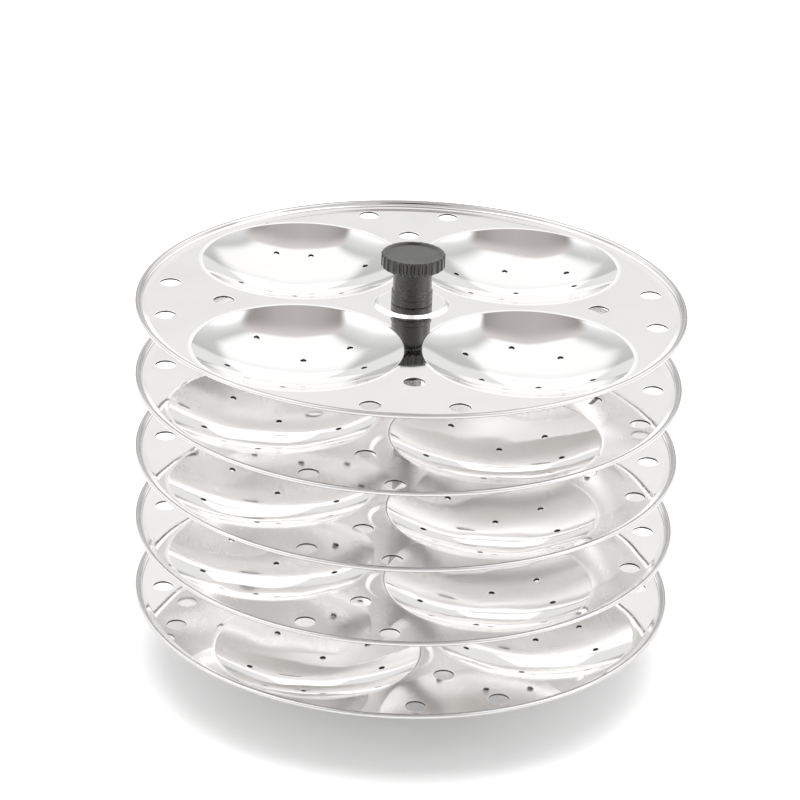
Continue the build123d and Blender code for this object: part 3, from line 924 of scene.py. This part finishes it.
studio = {
    "floorSize": 14.0, "floorDrop": 0.0002,
    "floorGrain": 900.0, "floorTones": ((0.90, 0.90, 0.90), (0.88, 0.88, 0.88)),
    "camera": {"aim": (-2.9, 0.0, 104.4), "distance": 1164.0, "elevation": 24.6, "roll": 2.13, "lens": 142.5},
    # white tent: brightness by the height it is seen at, 0 at the horizon and 1 overhead, and by the
    # direction in turns, where 0 and 1 are behind the camera and 0.5 is straight ahead of it
    "tentHeights": ((0.07, 0.79), (0.19, 0.83), (0.29, 0.88), (0.37, 0.93), (0.45, 1.0), (1.0, 1.0)),
    "tentWalls": (
        (0.0, 1.0), (0.09, 1.0), (0.14, 1.7), (0.40, 1.7), (0.44, 1.0),
        (0.56, 1.0), (0.60, 1.7), (0.86, 1.7), (0.91, 1.0), (1.0, 1.0),
    ),
    "horizon": ((0.0, 0.50), (0.05, 0.60), (0.09, 1.0)),  # the tent's grey foot
    # brighter low walls behind the camera and ahead of it: tone, then limit and soft edge of the height,
    # then the same of the way ahead, and 1 for the wall beyond that limit
    "lowWalls": ((1.0, (0.25, 0.05), (-0.2, 0.15), 0), (1.35, (0.31, 0.03), (0.55, 0.2), 1)),
    # grey curtains at both far corners: they begin where x / z or x / y passes these limits, and end at
    # a distance from straight ahead, in turns, with a soft edge
    "curtainTone": 0.57, "curtainLow": 0.52, "curtainHigh": 0.34, "curtainEdge": 0.18,
    "curtainEnd": (0.09, 0.015),
    # grey openings in the roof, in front of and behind a white middle, in shares of the roof's height,
    # darker towards their ends and paler towards the far edge
    "roofTones": ((0.0, 0.47), (0.5, 0.43), (0.85, 0.33), (1.0, 0.27)), "roofTint": (1.0, 0.945, 0.925),
    "roofHalfWidth": 0.32, "roofNear": 0.18, "roofFar": 0.76, "roofEdge": 0.035,
    "roofPaleFrom": (0.63, 0.12), "roofPaleTone": 0.66,
    "tentStrength": 1.03,
    # area lights, in metres: one above the stack, and one at each side, by direction from the camera's side
    "floorLight": {"height": 1.7, "size": 1.6, "power": 24.0},
    "sideLight": {"distance": 1.1, "height": 0.5, "aim": (0, 0, 0.08), "width": 0.5, "length": 0.9},
    "sideBoxes": (("rightBox", 72.0, 1.0), ("leftBox", -72.0, 0.5)),
}


def floorMesh(size, drop):
    # Flat square a little under the foot, as a grid of nine by nine points.
    line = np.linspace(-size / 2, size / 2, 9)
    x, y = np.meshgrid(line, line)
    mesh = bpy.data.meshes.new("studioFloor")
    rows = np.arange(81).reshape(9, 9)
    faces = np.stack([rows[:-1, :-1], rows[:-1, 1:], rows[1:, 1:], rows[1:, :-1]], axis=-1).reshape(-1, 4)
    mesh.from_pydata(np.column_stack([x.ravel(), y.ravel(), np.full(81, -drop)]).tolist(), [], faces.tolist())
    return mesh


floor = newObject("studioFloor", floorMesh(studio["floorSize"], studio["floorDrop"]))
paper, paperTree, paperShader = newMaterial("floorPaper", Roughness=0.9, Specular_IOR_Level=0.1)
paperTone = blendColours(paperTree, noise(paperTree, studio["floorGrain"]), *studio["floorTones"])
feed(paperTree, paperShader["Base Color"], paperTone)
floor.data.materials.append(paper)


def tentWorld():
    # White light tent with grey curtains at its far corners and grey openings in its roof, all of them
    # reflected by the steel.
    world = bpy.data.worlds.new("lightTent")
    scene.world = world
    world.use_nodes = True
    tree = world.node_tree
    tree.nodes.clear()
    spot = place(tree, "ShaderNodeTexCoord").outputs["Generated"]
    x, y, z = place(tree, "ShaderNodeSeparateXYZ", {0: spot}).outputs

    def steepness(part, whole):
        # Share of one part of the line of sight in another, without its sign.
        safe = math2(tree, "MAXIMUM", whole, 0.02)
        return math2(tree, "ABSOLUTE", math2(tree, "DIVIDE", part, safe))

    def within(source, limit, edge, rising=0):
        # 1 on one side of a limit and 0 on the other, over a soft edge.
        values = {
            "Value": source, "From Min": limit - edge, "From Max": limit + edge,
            "To Min": 1 - rising, "To Max": rising,
        }
        return place(tree, "ShaderNodeMapRange", values, interpolation_type="SMOOTHSTEP").outputs[0]

    turn = math2(tree, "MULTIPLY_ADD", math2(tree, "ARCTAN2", x, y), 1 / fullTurn, 0.5)
    heights, walls = ramp(tree, z, studio["tentHeights"]), ramp(tree, turn, studio["tentWalls"])
    tent = blendColours(tree, 1.0, heights, walls, "MULTIPLY")
    for tone, height, way, ahead in studio["lowWalls"]:
        share = math2(tree, "MULTIPLY", within(z, *height), within(y, *way, rising=ahead))
        tent = blendColours(tree, share, tent, (tone,) * 3)

    across, along, aside = steepness(x, z), steepness(y, z), steepness(x, y)
    low = math2(tree, "DIVIDE", across, studio["curtainLow"])
    reach = math2(tree, "MAXIMUM", low, math2(tree, "DIVIDE", aside, studio["curtainHigh"]))
    begun = within(reach, 1.0, studio["curtainEdge"], rising=1)
    turned = math2(tree, "ABSOLUTE", math2(tree, "SUBTRACT", turn, 0.5))
    curtain = math2(tree, "MULTIPLY", begun, within(turned, *studio["curtainEnd"]))
    dimmed = blendColours(tree, 1.0, tent, (studio["curtainTone"],) * 3, "MULTIPLY")
    hung = blendColours(tree, curtain, tent, dimmed)

    halfWidth, edge = studio["roofHalfWidth"], studio["roofEdge"]
    opening = math2(tree, "MULTIPLY", within(across, halfWidth, edge), within(along, studio["roofFar"], edge))
    opening = math2(tree, "MULTIPLY", opening, within(along, studio["roofNear"], edge, rising=1))
    tones = ramp(tree, math2(tree, "DIVIDE", across, halfWidth), studio["roofTones"])
    pale = within(along, *studio["roofPaleFrom"], rising=1)
    paler = blendColours(tree, pale, tones, (studio["roofPaleTone"],) * 3)
    tinted = blendColours(tree, 1.0, paler, studio["roofTint"], "MULTIPLY")
    foot = ramp(tree, z, studio["horizon"])
    glow = place(tree, "ShaderNodeBackground", {
        "Color": blendColours(tree, opening, hung, tinted),
        "Strength": math2(tree, "MULTIPLY", foot, studio["tentStrength"]),
    })
    place(tree, "ShaderNodeOutputWorld", {0: glow.outputs[0]})
    return tree


trees = [tentWorld(), *bpy.data.node_groups, *(made.node_tree for made in bpy.data.materials)]
for tree in filter(None, trees):
    layOut(tree)


def softbox(name, spot, aim, width, height, power):
    # Large area light at spot, facing aim; sizes in metres.
    data = bpy.data.lights.new(name, "AREA")
    data.shape, data.size, data.size_y, data.energy = "RECTANGLE", width, height, power
    light = newObject(name, data)
    facing = Vector(aim) - Vector(spot)
    light.matrix_world = Matrix.Translation(spot) @ facing.to_track_quat("-Z", "Y").to_matrix().to_4x4()
    return light


above, side = studio["floorLight"], studio["sideLight"]
size = above["size"]
softbox("floorLight", (0, 0, above["height"]), (0, 0, 0), size, size, above["power"]).visible_glossy = False
for name, direction, power in studio["sideBoxes"]:
    spot = (*polar(side["distance"], direction - 90), side["height"])
    softbox(name, spot, side["aim"], side["width"], side["length"], power)


def addCamera(view):
    # Camera on a sphere round its aim, rolled about its own line of sight.
    data = bpy.data.cameras.new("photoCamera")
    data.sensor_width, data.lens, data.clip_start, data.clip_end = 36.0, view["lens"], 0.01, 50.0
    tilt = Matrix.Rotation(math.radians(90 - view["elevation"]), 4, "X")
    roll = Matrix.Rotation(math.radians(view["roll"]), 4, "Z")
    back = Matrix.Translation((0, 0, view["distance"] * mm))
    scene.camera = newObject("photoCamera", data)
    scene.camera.matrix_world = Matrix.Translation(Vector(view["aim"]) * mm) @ tilt @ roll @ back


addCamera(studio["camera"])
scene.view_settings.view_transform = "Standard"
scene.cycles.max_bounces = scene.cycles.glossy_bounces = 24  # light passes many times between the plates
print("studio made")
